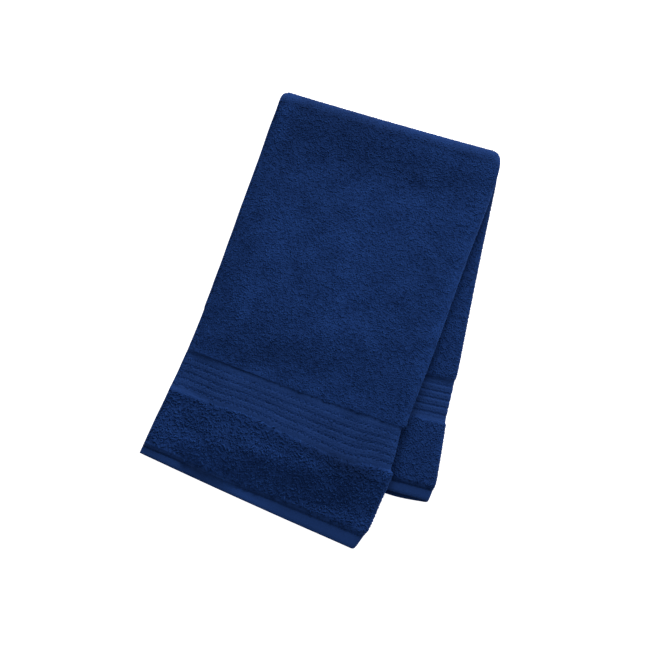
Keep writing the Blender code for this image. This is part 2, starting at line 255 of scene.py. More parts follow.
def half_spacing(run):
    """From the middle of the folded strip to the middle of either of its layers."""
    return HALF_SPACING - BORDER_SINK * in_border(run) - HEM_SINK * smoothstep((HEM - from_end(run)) / 5.0)


def settled(run):
    """How far a strip that lies on the floor comes down where the cloth is thin: in the border and in the hem."""
    q = from_end(run)
    return SETTLE * (between(q, BORDER_START + 2.0, BORDER_END - 2.0, 5.0) + smoothstep((HEM - q) / 5.0))


# %% [markdown]
# ## Troughs and ridges
#
# A towel that was folded by hand isn't flat. These are its soft creases. Each is a bell that is
# longer than it is wide, and a negative height makes a trough.

# %% The creases
Ridge = namedtuple("Ridge", "x d angle half_length half_width height")
RIDGES = [
    (-32, 60, 173, 98, 28, -1.2),
    (16, 158, 0, 90, 22, 0.6),
    (-49, 197, 40, 80, 34, 0.7),
    (-10, 197, 80, 90, 22, 0.7),
    (-14, 223, 0, 88, 28, 1.2),
    (-40, 268, -3.3, 110, 21, -1.9),
    (-95, 300, 70, 58, 32, -0.9),
    (62, 334, 0, 55, 17, -0.9),
]
RIDGES = [Ridge(*row) for row in RIDGES]


def oval_bell(x, d, spot):
    """A bell along the spot's length times a bell across it, in the spot's own turned directions."""
    turn = math.radians(spot.angle)
    along = (x - spot.x) * math.cos(turn) + (d - spot.d) * math.sin(turn)
    beside = (d - spot.d) * math.cos(turn) - (x - spot.x) * math.sin(turn)
    return bell(along, spot.half_length) * bell(beside, spot.half_width)


def ridge_height(x, d):
    """The sum of the creases."""
    return sum(ridge.height * oval_bell(x, d, ridge) for ridge in RIDGES)


# %% [markdown]
# ## How the front border lies
#
# The firm border and the soft pile shrink by different amounts, so the seam between them cockles. Below the
# border, on the front flap, the cloth swings up and down by a few millimetres and rises in a low roll. The table
# gives both at places across the strip, from the lengthwise fold to the long side.

# %% The swing and the roll of the border's lower edge, in rows of place, shift and lift
BORDER_SWINGS = [
    (0.00, -0.8, 0.7),
    (0.09, -1.5, 0.8),
    (0.15, -5.0, 0.9),
    (0.21, -5.4, 1.1),
    (0.28, -3.2, 1.3),
    (0.35, -1.2, 1.5),
    (0.42, 1.2, 1.6),
    (0.51, 2.6, 1.5),
    (0.57, 5.0, 1.3),
    (0.65, 6.2, 1.2),
    (0.73, 5.7, 1.2),
    (0.79, 4.0, 1.1),
    (0.86, 4.2, 1.1),
    (0.93, 4.2, 1.2),
    (1.00, 2.5, 1.2),
]
SWING_PLACES, SWING_SHIFTS, SWING_LIFTS = zip(*BORDER_SWINGS)
SWING_FROM = 25.0
ROLL_CREST = BORDER_START + 3.0
ROLL_TO_BORDER, ROLL_TO_HEM = 9.0, 18.0


def front_point(at, across):
    """The front flap's plan position: the lines of the table, moved up by the swing, which fades both ways."""
    x, d = flap_point(FRONT_LINES, at, across)
    above = np.clip((BORDER_END - at) / BORDER, 0.0, 1.0) ** 1.3
    below = smoothstep((at - SWING_FROM) / (BORDER_START - SWING_FROM))
    return x, d - through(SWING_PLACES, SWING_SHIFTS, across) * np.where(at > BORDER_START, above, below)


def border_roll(at, across):
    """Height of the roll: a bell that is narrow towards the border and wide towards the hem."""
    off = at - ROLL_CREST
    return through(SWING_PLACES, SWING_LIFTS, across) * bell(off, np.where(off > 0, ROLL_TO_BORDER, ROLL_TO_HEM))


# %% Smooth random fields


def field(seed, shortest, longest, waves=48):
    """A smooth random function of two lengths: a sum of sine waves of random direction, length and phase."""
    draw = np.random.default_rng(seed)
    heading, phase = draw.uniform(0, 2 * np.pi, (2, waves))
    number = 2 * np.pi / np.exp(draw.uniform(np.log(shortest), np.log(longest), waves))

    def value(u, v):
        total = np.zeros(np.broadcast(u, v).shape)
        for angle, k, start in zip(heading, number, phase):
            total += np.sin(k * (math.cos(angle) * u + math.sin(angle) * v) + start)
        return total * math.sqrt(2.0 / waves)

    return value


rumple = field(11, 24.0, 70.0)
RUMPLE_HEIGHT = 0.3

# %% [markdown]
# ## The folded strip
#
# The strip of two layers is one surface: the front flap, a half turn over the top fold, and the back flap. Where
# the front flap reaches past the back flap it drops to the table along a smooth slope. The two layers lie on
# either side of this surface and meet in the round fold on the right.

# %% The strip's middle surface


def past_line(x, d, start, end):
    """Distance past the straight line from start to end, in plan."""
    step = np.subtract(end, start)
    step /= np.linalg.norm(step)
    return (d - start[1]) * step[0] - (x - start[0]) * step[1]


def dropped(x, d):
    """0 where the front flap lies on the back one and 1 where it lies on the floor: a ramp with rounded ends."""
    hem, fold = BACK_LINES[0], BACK_LINES[-1]
    past_side = past_line(x, d, (fold.left_x, fold.left_d), (hem.left_x, hem.left_d))
    past_hem = past_line(x, d, (hem.left_x, hem.left_d), (hem.right_x, hem.right_d))
    beside = np.maximum(past_side + DROP_INSIDE_SIDE, 0.0) / DROP_AT_SIDE
    below = np.maximum(past_hem + DROP_INSIDE_HEM, 0.0) / DROP_AT_HEM
    share = np.hypot(beside, below)
    return 0.6 * np.clip(share, 0.0, 1.0) + 0.4 * smoothstep(share)


def strip_middle(across, run):
    """Front flap, half turn and back flap, one after the other along the cloth."""
    on_front = np.minimum(run, FRONT_FLAT)
    front_x, front_d = front_point(on_front, across)
    swell = FOLD_SWELL * bell(FRONT_FLAT - on_front, FOLD_SWELL_LENGTH)
    before_fold = smoothstep((FRONT_FLAT - on_front) / 30.0)
    down = dropped(front_x, front_d) * before_fold
    front_z = FRONT_MIDDLE + swell - (DROP_HEIGHT + settled(on_front)) * down
    creases = ridge_height(front_x, front_d) * before_fold * (1.0 - down**2)
    front_z = front_z + creases + border_roll(on_front, across)
    uneven = np.maximum(rumple(front_x, front_d) + 1.5, 0.0) * smoothstep((FRONT_FLAT - on_front) / 40.0)
    front_z = front_z + RUMPLE_HEIGHT * uneven * smoothstep(on_front / 30.0)

    to_end = np.minimum(CLOTH_LENGTH - run, BACK_FLAT)
    back_x, back_d = flap_point(BACK_LINES, to_end, across)

    share = np.clip((run - FRONT_FLAT) / TURN_LENGTH, 0.0, 1.0)
    over = np.pi * share
    turn_z = (FRONT_MIDDLE + FOLD_SWELL + BACK_MIDDLE) / 2 + TURN_RADIUS * np.cos(over)
    turn_x = front_x + (back_x - front_x) * share
    turn_d = front_d - TURN_RADIUS * np.sin(over)

    front, back = run <= FRONT_FLAT, run >= FRONT_FLAT + TURN_LENGTH
    x = np.where(front, front_x, np.where(back, back_x, turn_x))
    d = np.where(front, front_d, np.where(back, back_d, turn_d))
    z = np.where(front, front_z, np.where(back, BACK_MIDDLE - settled(run), turn_z))
    return np.stack([x, -d, z], axis=-1)


def unit(vectors):
    """Each vector divided by its length."""
    return vectors / np.linalg.norm(vectors, axis=-1, keepdims=True)


def strip_frame(across, run):
    """The middle, the outward normal as the cross product of two short steps, and the way out of the fold."""
    small, short = 1e-3, 0.05
    left = strip_middle(np.minimum(across + small, 1.0), run) - strip_middle(np.maximum(across - small, 0.0), run)
    ahead, behind = np.minimum(run + short, CLOTH_LENGTH), np.maximum(run - short, 0.0)
    along = strip_middle(across, ahead) - strip_middle(across, behind)
    return strip_middle(across, run), unit(np.cross(along, left)), -unit(left)


# %% The cloth round the strip


def corner_pull(across, out, run):
    """How far a point near a top corner is drawn down: a quarter circle from each side of the fold."""
    from_turn = np.abs(run - FRONT_FLAT - TURN_LENGTH / 2)
    fade = bell(np.maximum(from_turn - TURN_LENGTH / 2, 0.0), CORNER_FADE)
    from_left = (1.0 - across) * STRIP_WIDTH
    from_right = across * STRIP_WIDTH + ROLL_REACH - out
    pull = np.zeros_like(fade)
    for distance, radius in ((from_left, LEFT_CORNER_RADIUS), (from_right, RIGHT_CORNER_RADIUS)):
        q = np.clip(1.0 - distance / radius, 0.0, 1.0)
        pull = pull + radius * (1.0 - np.sqrt(1.0 - 0.98 * q * q))
    return pull * fade


def cloth(across, around, run, side, lift=0.0):
    """A point of the cloth, in millimetres: the strip's middle plus a step to the layer and half its thickness.

    across is 0 on the lengthwise fold and 1 on the long side. around is the angle round that fold, 0 on the
    layer that is outside in the top fold and pi on the inner one. side is 1 on the outer face and -1 on the
    inner one, and lift moves the point outwards from there.
    """
    middle, normal, outward = strip_frame(across, run)
    inner_layer = (1.0 - np.cos(around)) / 2
    from_fold = across * STRIP_WIDTH
    on_front = 1.0 - smoothstep((run - FRONT_FLAT + 40.0) / 60.0)
    roll_swell = ROLL_SWELL * bell(from_fold, ROLL_SWELL_WIDTH) * on_front
    facing = np.cos(around)[..., None] * normal + np.sin(around)[..., None] * outward
    reach = half_spacing(run) + roll_swell + side * thickness(across, run) / 2 + lift
    point = middle + reach[..., None] * facing
    point[..., 2] += roll_swell

    near_front_end = smoothstep(1.0 - run / (2 * HEM))
    near_back_end = smoothstep(1.0 - (CLOTH_LENGTH - run) / (2 * HEM))
    lip = BACK_LIP * bell(from_fold - BACK_LIP_AT, BACK_LIP_WIDTH)
    point[..., 1] += FRONT_TUCK * inner_layer * near_front_end
    point[..., 1] -= lip * (1.0 - inner_layer) * near_back_end
    point[..., 0] += SIDE_TUCK * inner_layer * smoothstep((across - 0.8) / 0.2)
    point[..., 0] -= BORDER_PINCH * in_border(run) * bell(from_fold, BORDER_PINCH_WIDTH) * (run < FRONT_FLAT)
    point[..., 1] -= corner_pull(across, np.sin(around) * reach, run)
    return point


# %% [markdown]
# ## The grid of the cloth
#
# The cloth is one closed skin: rings round its thickness, one ring for each row along its length. Rows lie close
# together in the border, where the ribs are, and further apart in the pile.

# %% Rows and stations


def filled(stops):
    """Stops given as (place, longest step after it), with even places filled in between them."""
    places = []
    for (start, step), (end, _) in zip(stops, stops[1:]):
        count = max(1, math.ceil((end - start) / step - 1e-9))
        places.extend(np.linspace(start, end, count, endpoint=False))
    return np.array([*places, stops[-1][0]])


end_rows = filled(
    [
        (0.0, 0.5),
        (3.0, 2.0),
        (HEM - 1.0, 0.5),
        (HEM + 1.0, 3.5),
        (BORDER_START - 1.0, 0.5),
        (BORDER_START + 1.0, 1.5),
        (FIRST_GROOVE - 1.2, 0.48),
        (FIRST_GROOVE + (GROOVES - 1) * RIB_PITCH + 1.2, 1.5),
        (BORDER_END - 1.0, 0.5),
        (BORDER_END + 1.0, 3.5),
    ]
)
field_rows = filled([(BORDER_END + 1.0, 4.2), (FRONT_FLAT - 45.0, 2.4), (FRONT_FLAT, 1.2)])[1:]
turn_rows = np.linspace(FRONT_FLAT, FRONT_FLAT + TURN_LENGTH, 21)[1:]
back_rows = filled([(FRONT_FLAT + TURN_LENGTH, 5.5), (CLOTH_LENGTH - BORDER_END - 1.0, 5.5)])[1:-1]
rows = np.concatenate([end_rows, field_rows, turn_rows, back_rows, CLOTH_LENGTH - end_rows[::-1]])

from_side = filled([(0.0, 0.5), (1.5, 2.0), (SIDE_HEM, 0.75), (SIDE_HEM + 1.5, 4.3), (STRIP_WIDTH, 4.3)])[:-1]
ROLL_STEPS = 10
top_layer = [(1.0 - at / STRIP_WIDTH, 0.0) for at in from_side]
fold_roll = [(0.0, math.pi * step / ROLL_STEPS) for step in range(ROLL_STEPS + 1)]
low_layer = [(1.0 - at / STRIP_WIDTH, math.pi) for at in from_side[::-1]]
stations = np.array(top_layer + fold_roll + low_layer)
print(f"{len(rows)} rows of {2 * len(stations)} points")

# %% [markdown]
# ## Where the pile will stand
#
# The loops are made as real yarn further down, so the cloth under them is only its ground weave and lies lower
# there. A mask says where: on the outer face, in the looped zones, on the parts that can be seen.

# %% The mask of the looped faces
LOOP_HEIGHT = 1.45
GROUND_DROP = 0.4
LEAST_HALF = 0.75
edge_wobble = field(23, 5.0, 14.0)


def front_edge_x(d):
    """The front flap's right edge in plan, read off the table's ends as a function of d."""
    return np.interp(d, *zip(*sorted((line.right_d, line.right_x) for line in FRONT_LINES)))


def back_point(across, run):
    """The back flap's plan position. A run that isn't on the flap gives the flap's nearest line."""
    return flap_point(BACK_LINES, np.clip(CLOTH_LENGTH - run, 0.0, BACK_FLAT), across)


def flat_across(across, around):
    """Distance from the long side over the outer face: down the top layer, round the fold and back."""
    bend = np.clip(around, 0.0, np.pi)
    return np.where(bend < np.pi, (1.0 - across) * STRIP_WIDTH, (1.0 + across) * STRIP_WIDTH) + ROLL_REACH * bend


def open_corner(across, run):
    """1 near the front flap's free corner, where the pile stands back from the hem, and 0 elsewhere."""
    return smoothstep((across - 0.78) / 0.12) * (run < CLOTH_LENGTH / 2)


def looped(across, around, run):
    """1 where loops stand on the outer face: the front, the outside of the turn, and the back flap's open wedge.

    The side hem is turned under, so on top the loops reach the very edge. Along the end hem their line wanders."""
    wander = edge_wobble(flat_across(across, around), np.where(run < CLOTH_LENGTH / 2, 0.0, 400.0))
    q = from_end(run)
    zone = smoothstep((q - HEM + 0.8 + 1.3 * wander - 3.0 * open_corner(across, run)) / 0.8)
    low_edge = BORDER_START + 0.9 * wander + 1.3 * between(across, 0.06, 0.32, 0.1)
    high_edge = BORDER_END - 0.25 * wander + 1.2 * smoothstep((across - 0.5) / 0.2)
    zone = zone * (1.0 - between(q, low_edge, high_edge, 0.8))
    zone = zone * smoothstep(((1.0 - across) * STRIP_WIDTH - 0.4) / 0.5)
    front = (run < FRONT_FLAT + TURN_LENGTH * 0.9) * (1.0 - smoothstep((around - 2.5) / 0.3))
    x, d = back_point(across, run)
    open_wedge = smoothstep((x + ROLL_REACH * np.sin(around) - front_edge_x(d) + 16.0) / 6.0)
    back = (run > FRONT_FLAT + TURN_LENGTH * 0.1) * smoothstep((around - 0.7) / 0.3) * open_wedge
    inside_turn = between(run, FRONT_FLAT, FRONT_FLAT + TURN_LENGTH, 4.0) * smoothstep((around - 1.5) / 0.2)
    return zone * (1.0 - inside_turn) * np.maximum(front, back)


def ground_drop(across, run):
    """How far the ground weave lies under the full thickness: a fixed depth, or less where the cloth is thin."""
    return np.clip(thickness(across, run) / 2 - LEAST_HALF, 0.0, GROUND_DROP)


# %% [markdown]
# ## Painted light and shade
#
# The front flap's pile gets patches of painted light and painted shade: lighter where its folds should catch
# more light, darker where they should lie in shade, and a painted highlight along its right edge. The table
# places the patches, each a bell like the creases, with its share of lightness.

# %% The patches of painted light and shade
PaintedPatch = namedtuple("PaintedPatch", "x d angle half_length half_width light")
# width and depth of the painted shade in the crease beside the front flap's edge, on the back flap
CREASE_SHADE_WIDTH, CREASE_SHADE_DARK = 5.0, 0.34
# each row is one patch; a positive light is painted light and a negative one painted shade
PAINTED_PATCHES = [
    (0, 7, 0, 260, 5, -0.52),
    (85, 7, 0, 45, 5, -0.06),
    (-35, 17, 0, 45, 11, -0.16),
    (40, 34, 0, 90, 14, -0.10),
    (-70, 24, 0, 62, 14, -0.11),
    (-20, 50, 0, 110, 16, -0.12),
    (-106, 30, 100, 40, 6, 0.12),
    (-92, 45, 97, 45, 8, -0.10),
    (-70, 85, 0, 60, 22, -0.14),
    (-112, 255, 100, 70, 12, 0.10),
    (-85, 175, 98, 80, 11, 0.08),
    (2, 185, 85, 100, 22, 0.08),
    (99, 200, 94, 130, 7, 0.30),
    (-62, 258, -20, 26, 9, -0.14),
    (-66, 350, 15, 24, 8, -0.22),
    (48, 341, 8, 36, 8, -0.48),
    (-70, 370, 15, 70, 16, 0.18),
    (-100, 388, 20, 40, 7, 0.20),
    (-40, 394, 22, 60, 7, 0.22),
    (20, 366, 10, 80, 16, 0.14),
    (-50, 352, 14, 90, 22, 0.10),
    (-58, 391, 24, 32, 6, 0.42),
    (85, 364, 90, 26, 12, 0.20),
    (-94, 370, 15, 30, 13, 0.16),
    (68, 360, 10, 20, 12, 0.16),
    (78, 140, 92, 45, 10, -0.10),
]
PAINTED_PATCHES = [PaintedPatch(*row) for row in PAINTED_PATCHES]


def painted_light_and_shade(across, run):
    """1 plus the sum of the patches of painted light and shade at the front flap's plan position. On the back
    flap the pile gets a painted shade beside the front flap's edge, as a bell of the distance from it."""
    x, d = front_point(np.minimum(run, FRONT_FLAT), across)
    light = sum(spot.light * oval_bell(x, d, spot) for spot in PAINTED_PATCHES)
    light = light * smoothstep((FRONT_FLAT + TURN_LENGTH - run) / (TURN_LENGTH / 2))
    back_x, back_d = back_point(across, run)
    # painted shade in the crease beside the front flap's edge
    crease_shade = bell(np.maximum(back_x - front_edge_x(back_d), 0.0), CREASE_SHADE_WIDTH)
    return 1.0 + light - CREASE_SHADE_DARK * crease_shade * (run > FRONT_FLAT + TURN_LENGTH)


# %% [markdown]
# ## Making meshes
#
# One helper puts whole numpy arrays into a mesh, because a Python loop over half a million points would take
# minutes.

# %% From arrays to a mesh


def mesh_of(name, points, quads, triangles=()):
    """A smooth mesh from an array of points, one of four-cornered faces and one of triangles."""
    quads, triangles = np.asarray(quads).reshape(-1, 4), np.asarray(triangles, int).reshape(-1, 3)
    mesh = bpy.data.meshes.new(name)
    mesh.vertices.add(len(points))
    mesh.vertices.foreach_set("co", np.ascontiguousarray(points, np.float32).ravel())
    corners = np.concatenate([quads.ravel(), triangles.ravel()]).astype(np.int32)
    starts = np.concatenate([np.arange(len(quads)) * 4, len(quads) * 4 + np.arange(len(triangles)) * 3])
    mesh.loops.add(len(corners))
    mesh.loops.foreach_set("vertex_index", corners)
    mesh.polygons.add(len(starts))
    mesh.polygons.foreach_set("loop_start", starts.astype(np.int32))
    mesh.update(calc_edges=True)
    mesh.validate()
    mesh.shade_smooth()
    return mesh


def keep(mesh, name, values):
    """Stores one number or one vector for each point of the mesh, for its material to read."""
    kind, field = ("FLOAT", "value") if values.ndim == 1 else ("FLOAT_VECTOR", "vector")
    mesh.attributes.new(name, kind, "POINT").data.foreach_set(field, values.astype(np.float32).ravel())


def place(mesh):
    """Links a finished mesh as a piece of the towel."""
    piece = bpy.data.objects.new(mesh.name, mesh)
    bpy.context.scene.collection.objects.link(piece)
    return piece


# %% The cloth's mesh
across, around = stations.T
ring_across = np.concatenate([across, across[::-1]])
ring_around = np.concatenate([around, around[::-1]])
ring_side = np.concatenate([np.ones(len(across)), -np.ones(len(across))])
shape = (len(rows), len(ring_across))
A, O, S = (np.broadcast_to(ring, shape) for ring in (ring_across, ring_around, ring_side))
R = np.broadcast_to(rows[:, None], shape)
solid_points = cloth(A, O, R, S)
plan = solid_points[..., :2].reshape(-1, 2)
plan_low, plan_high = plan.min(axis=0), plan.max(axis=0)
plan_middle = np.array([*(plan_low + plan_high) / 2, 0.0])


def settle(points):
    """Moves points so that the towel's footprint is centred on the origin, and gives them in metres."""
    return (points - plan_middle) * MM


pile_mask = looped(A, O, R) * (S > 0)
ground_points = cloth(A, O, R, S, lift=-ground_drop(A, R) * pile_mask)

index = np.arange(shape[0] * shape[1]).reshape(shape)
ahead = np.roll(index, -1, axis=1)
quads = np.stack([index[:-1], ahead[:-1], ahead[1:], index[1:]], axis=-1).reshape(-1, 4)
outer = index[:, : shape[1] // 2]
inner = index[:, : shape[1] // 2 - 1 : -1]
caps = np.stack([outer[:, :-1], outer[:, 1:], inner[:, 1:], inner[:, :-1]], axis=-1)
quads = np.concatenate([quads, caps[0][:, ::-1], caps[-1]])

towel_mesh = mesh_of("towel_cloth", settle(ground_points.reshape(-1, 3)), quads)
# the cloth keeps its place along and across, and the painted light and shade of the patches
for name, values in (("cloth_across", flat_across(A, O)), ("cloth_run", R), ("painted_light_and_shade", painted_light_and_shade(A, R))):
    keep(towel_mesh, name, values.ravel())
towel_cloth = place(towel_mesh)
print(f"towel_cloth: {len(towel_mesh.polygons)} faces, plan {np.round(plan_high - plan_low, 1)} mm")

# %% [markdown]
# ## The loops of the pile
#
# Terry is made of thousands of yarn loops. After washing, each one leans and twists its own way, and that is
# what gives the cloth its grain. One loop is an arch of yarn with five points along it and four sides. All of
# them are worked out at once, and then set on the cloth with its own directions at that spot.

# %% Where each loop stands
LOOP_SPACING, END_LOOP_SPACING = 1.95, 2.5
LOOP_SINK = 0.26
ROW_SHARE = 0.866
STRAY = 0.36
LEAST_MASK = 0.55
chance = np.random.default_rng(7)


def ring_place(s):
    """Distance round the outer face from the long side, as across and around: flat, half circle, flat."""
    roll = math.pi * ROLL_REACH
    around = np.clip((s - STRIP_WIDTH) / ROLL_REACH, 0.0, np.pi)
    across = np.where(s < STRIP_WIDTH, 1.0 - s / STRIP_WIDTH, np.maximum(s - STRIP_WIDTH - roll, 0.0) / STRIP_WIDTH)
    return across, around


def even_rows(start, end, spacing):
    """Runs whose spots lie evenly on the outer face: arc length is summed, and read back at equal steps."""
    run = np.arange(start, end, 0.4)
    around = np.full_like(run, np.pi if start > FRONT_FLAT else 0.0)
    line = cloth(np.full_like(run, 0.5), around, run, 1)
    arc = np.concatenate([[0.0], np.cumsum(np.linalg.norm(np.diff(line, axis=0), axis=1))])
    return np.interp(np.arange(spacing / 2, arc[-1], spacing), arc, run)


def loop_spots(start, end, s_low, s_high, spacing):
    """A honeycomb of spots, each moved a little at random, kept where the cloth is looped."""
    run = even_rows(start, end, spacing * ROW_SHARE)
    s = np.arange(s_low, s_high, spacing)
    s_grid = s[None, :] + np.where(np.arange(len(run)) % 2, 0.5, 0.0)[:, None] * spacing
    run_grid = np.broadcast_to(run[:, None], s_grid.shape)
    s_grid = s_grid + chance.uniform(-STRAY, STRAY, s_grid.shape) * spacing
    run_grid = (run_grid + chance.uniform(-STRAY, STRAY, s_grid.shape) * spacing).ravel()
    across, around = ring_place(s_grid.ravel())
    kept = looped(across, around, run_grid) > LEAST_MASK
    return across[kept], around[kept], run_grid[kept]


def spot_frame(across, around, run, lift=0.0):
    """The outer face at each spot: its point, the way along the cloth, the way across it, and outwards, which is
    the cross product of a short step across and one along."""
    s = flat_across(across, around)
    along = unit(cloth(across, around, run + 0.6, 1) - cloth(across, around, run - 0.6, 1))
    beside = cloth(*ring_place(s + 1.5), run, 1) - cloth(*ring_place(s - 1.5), run, 1)
    out = unit(np.cross(beside, along))
    return cloth(across, around, run, 1, lift), along, np.cross(out, along), out


# %% The shape of a loop
PATH = np.array([0.0, 0.2, 0.5, 0.8, 1.0])
LOOP_SIDES = 4
ROOT = 0.35


def yarn_arches(count, width, height, radius, turn, lean, twist):
    """Points of every arch. Along its path, x is a cosine and z the 0.7th power of a sine, from a root under the
    cloth. It leans and twists as it rises. Each middle point carries a ring of corners, and the ends are points."""
    t = PATH[None, :]
    x = -np.cos(np.pi * t) * width[:, None]
    rise = np.sin(np.pi * t) ** 0.7
    z = (height[:, None] + ROOT) * rise - ROOT
    y = twist[:, None] * np.sin(2 * np.pi * t)
    c, s = np.cos(turn)[:, None], np.sin(turn)[:, None]
    path = np.stack([x * c - y * s + lean[0][:, None] * rise, x * s + y * c + lean[1][:, None] * rise, z], axis=-1)
    ahead = unit(np.gradient(path, axis=1))
    sideways = np.stack([-s + 0 * t, c + 0 * t, 0 * s + 0 * t], axis=-1)
    up = unit(np.cross(ahead, sideways))
    sideways = np.cross(up, ahead)
    corner = np.linspace(0, 2 * np.pi, LOOP_SIDES, endpoint=False)[None, None, :, None]
    ring = np.cos(corner) * up[:, 1:-1, None] + np.sin(corner) * sideways[:, 1:-1, None]
    rings = path[:, 1:-1, None] + ring * radius[:, None, None, None]
    return np.concatenate([path[:, :1], rings.reshape(count, -1, 3), path[:, -1:]], axis=1)


def arch_faces():
    """Faces of one arch: bands of quads between its rings, and a fan of triangles at each end point."""
    ring = 1 + np.arange((len(PATH) - 2) * LOOP_SIDES).reshape(-1, LOOP_SIDES)
    after = np.roll(ring, -1, axis=1)
    bands = np.stack([ring[:-1], after[:-1], after[1:], ring[1:]], axis=-1).reshape(-1, 4)
    start, end = np.zeros(LOOP_SIDES, int), np.full(LOOP_SIDES, ring[-1, -1] + 1)
    return bands, np.concatenate([np.stack([start, after[0], ring[0]], -1), np.stack([end, ring[-1], after[-1]], -1)])


ARCH_QUADS, ARCH_FANS = arch_faces()
print("one loop:", 2 * len(ARCH_QUADS) + len(ARCH_FANS), "triangles")


# %% Setting the loops on the cloth


def joined_arches(name, spots, arches, values, lift=0.0):
    """Sets each arch on its spot, in the spot's own directions, and puts all in one mesh."""
    here, along, beside, out = spot_frame(*spots, lift)
    directions = np.stack([along, beside, out], axis=1)
    points = here[:, None] + np.einsum("nki,nij->nkj", arches, directions)
    count, corners = arches.shape[:2]
    offset = (np.arange(count) * corners)[:, None, None]
    mesh = mesh_of(name, settle(points.reshape(-1, 3)), ARCH_QUADS + offset, ARCH_FANS + offset)
    for key, value in {"lie": out, **values}.items():
        keep(mesh, key, np.repeat(value, corners, axis=0))
    print(f"{name}: {count} arches of yarn")
    return place(mesh)


HALF_WIDTH, WIDTH_SPREAD = 1.12, 0.18
YARN_RADIUS, RADIUS_SPREAD = 0.62, 0.06
LEAN, LEAN_SPREAD, TWIST_SPREAD = 0.6, 0.24, 0.42
CLUMP_HEIGHT, RARE_HEIGHT = 0.16, 0.42
naps = field(31, 6.0, 22.0), field(32, 6.0, 22.0)
clump = field(33, 4.0, 9.0)
patch = field(34, 14.0, 60.0)


def over_the_edge(across, run):
    """How much the loops by a hem or a border lean out over it, along the cloth."""
    q = from_end(run)
    over_hem = 1.3 * (1.0 - 0.9 * open_corner(across, run)) * bell(q - HEM, 3.0)
    out = over_hem + 0.8 * bell(q - BORDER_END, 2.2) - bell(q - BORDER_START, 3.0)
    return np.where(run < CLOTH_LENGTH / 2, -out, out)


def on_the_outline(s, run):
    """1 along the two round folds' outermost lines, where rubbing has smoothed the pile, and 2 where they meet."""
    return bell(s - STRIP_WIDTH - ROLL_REACH * math.pi / 2, 6.0) + bell(run - FRONT_FLAT - TURN_LENGTH / 2, 8.0)


def pile_piece(name, spots, wild=1.0, size=1.0):
    """Loops at these spots. Size, turn and twist are drawn at random, by more where the pile is wild. Lean and
    height also follow smooth fields, so that neighbours lie the same way and stand in clumps. A few loops rise
    well above the rest, and those are painted lightest, a painted highlight on top of their random tone."""
    across, around, run = spots
    count = len(run)
    draw = chance.normal
    s = flat_across(across, around)
    rubbed = on_the_outline(s, run)
    calm = (0.25 + 0.75 * smoothstep(s / 7.0)) * (1.0 - 0.85 * np.minimum(rubbed, 1.0))
    lean = [calm * (LEAN * wild * nap(s, run) + draw(0, LEAN_SPREAD * wild, count)) for nap in naps]
    lean[0] += over_the_edge(across, run)
    rise = chance.uniform(0.0, 1.0, count) ** 3
    tall = LOOP_HEIGHT + calm * (CLUMP_HEIGHT * wild * clump(s, run) + RARE_HEIGHT * wild * rise - 0.06)
    tall = tall - 0.4 * bell(from_end(run) - BORDER_END, 3.0) - 0.2 * rubbed**1.6
    arches = yarn_arches(
        count,
        width=size * np.clip(draw(HALF_WIDTH, WIDTH_SPREAD * wild, count), 0.6, 1.6),
        height=np.clip(tall, 0.8, LOOP_HEIGHT + 0.5 * wild),
        radius=size * np.clip(draw(YARN_RADIUS, RADIUS_SPREAD, count), 0.45, 0.8),
        turn=chance.uniform(0, 2 * np.pi, count),
        lean=lean,
        twist=draw(0.0, TWIST_SPREAD * wild, count),
    )
    arches[..., 2] -= LOOP_HEIGHT + LOOP_SINK
    # random tone per loop and over the cloth, plus a painted highlight that makes the tallest loops lighter
    tone_and_highlight = np.clip(0.28 + 0.14 * patch(s, run) + 0.72 * rise + chance.uniform(-0.1, 0.1, count), 0, 1)
    looks = {"tone_and_highlight": tone_and_highlight, "painted_light_and_shade": painted_light_and_shade(across, run)}
    return joined_arches(name, spots, arches, looks, GROUND_DROP - ground_drop(across, run))


def share_out(name, spots, parts):
    """Splits the spots into even pieces, because one piece may not hold them all."""
    cuts = np.array_split(np.arange(len(spots[0])), parts)
    return [pile_piece(f"{name}_{n + 1}", [values[cut] for values in spots]) for n, cut in enumerate(cuts)]


round_fold = STRIP_WIDTH + math.pi * ROLL_REACH
turned = FRONT_FLAT + TURN_LENGTH * 0.93
hem_inside = CLOTH_LENGTH - HEM + 3
end_spots = loop_spots(HEM - 3, BORDER_START + 3, 0.5, round_fold, END_LOOP_SPACING)
pile_pieces = [
    pile_piece("end_pile", end_spots, wild=1.6, size=1.28),
    *share_out("field_pile", loop_spots(BORDER_END - 2, turned, 0.5, round_fold, LOOP_SPACING), 3),
    pile_piece("back_pile", loop_spots(turned, hem_inside, STRIP_WIDTH, round_fold + 75, LOOP_SPACING), wild=1.2),
]

# %% [markdown]
# ## Shader maths as Python
#
# A material is a tree of nodes. To write its maths as plain sums, one small class wraps a socket and overloads
# the operators, so that an expression on values adds its own Math nodes.

# %% A class for values, and one for a recipe


class Value:
    """One output in a node tree. Sums with it, or with numbers, add Math nodes."""

    def __init__(self, socket):
        self.socket = socket

    def maths(self, operation, *inputs):
        node = self.socket.id_data.nodes.new("ShaderNodeMath")
        node.operation = operation
        for socket, given in zip(node.inputs, inputs):
            plug(socket, given)
        return Value(node.outputs[0])


# what a Value can do, with the kind of Math node that does it
METHODS = {
    "__add__": "ADD",
    "__radd__": "ADD",
    "__sub__": "SUBTRACT",
    "__mul__": "MULTIPLY",
    "__rmul__": "MULTIPLY",
    "__pow__": "POWER",
    "sine": "SINE",
    "cosine": "COSINE",
    "absolute": "ABSOLUTE",
    "least": "MINIMUM",
    "most": "MAXIMUM",
}
for name, operation in METHODS.items():
    setattr(Value, name, lambda self, *others, operation=operation: self.maths(operation, self, *others))
Value.__rsub__ = lambda self, other: self.maths("SUBTRACT", other, self)


def plug(socket, given):
    """Links a Value to a socket, or sets the socket to a number or a colour."""
    if isinstance(given, Value):
        socket.id_data.links.new(given.socket, socket)
    else:
        socket.default_value = given


